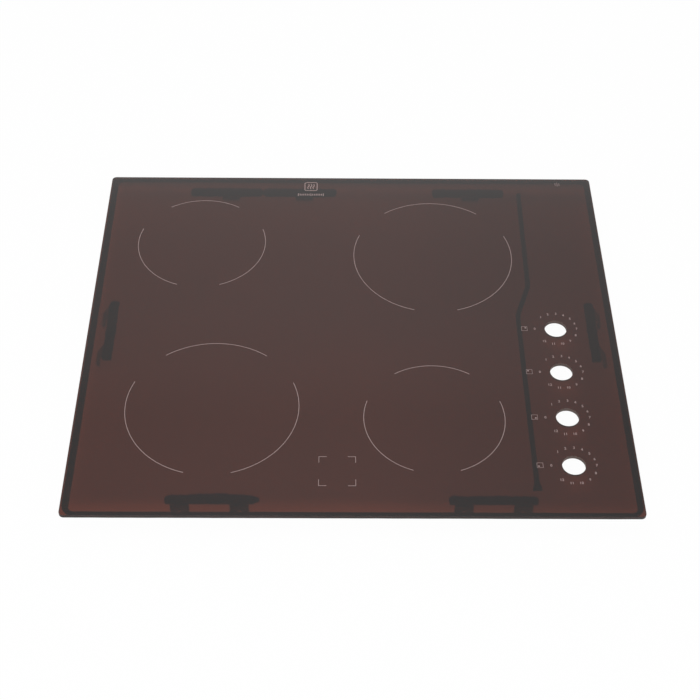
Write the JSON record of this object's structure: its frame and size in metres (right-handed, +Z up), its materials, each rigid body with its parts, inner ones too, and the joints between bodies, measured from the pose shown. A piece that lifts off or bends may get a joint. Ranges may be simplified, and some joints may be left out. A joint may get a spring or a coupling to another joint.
{
  "type": "glass-ceramic hob top",
  "caption": "Dark glass-ceramic hob plate with printed cooking zones, a row of open knob holes, foam seals and steel brackets bonded underneath.",
  "frame": {"origin": "under the middle of the plate, on the plane of the brackets' lower ends", "axes": "+Z up through the glass, +X to the knob row's side, -Y towards the cook"},
  "size_m": [0.59, 0.52, 0.024],
  "materials": {
    "glass_ceramic": "dark red-brown glass-ceramic, smooth and glossy on top",
    "seal_foam": "dark grey matte closed-cell foam",
    "bracket_steel": "satin black coated steel sheet",
    "silicone_bead": "satin black cured silicone",
    "printed_enamel": "pale pinkish grey enamel print fired onto the glass"
  },
  "bodies": {
    "root": {"glass_plate": "glass_ceramic", "perimeter_seal": "seal_foam", "divider_seal": "seal_foam", "front_bracket_left": "bracket_steel", "front_bracket_right": "bracket_steel", "side_bracket_left": "bracket_steel", "side_bracket_right": "bracket_steel", "rear_bracket_left": "bracket_steel", "rear_bracket_middle": "bracket_steel", "rear_bracket_right": "bracket_steel", "adhesive_front_left": "silicone_bead", "adhesive_front_right": "silicone_bead", "adhesive_side_left": "silicone_bead", "adhesive_side_right": "silicone_bead", "adhesive_rear_left": "silicone_bead", "adhesive_rear_middle": "silicone_bead", "adhesive_rear_right": "silicone_bead"}
  },
  "joints": []
}
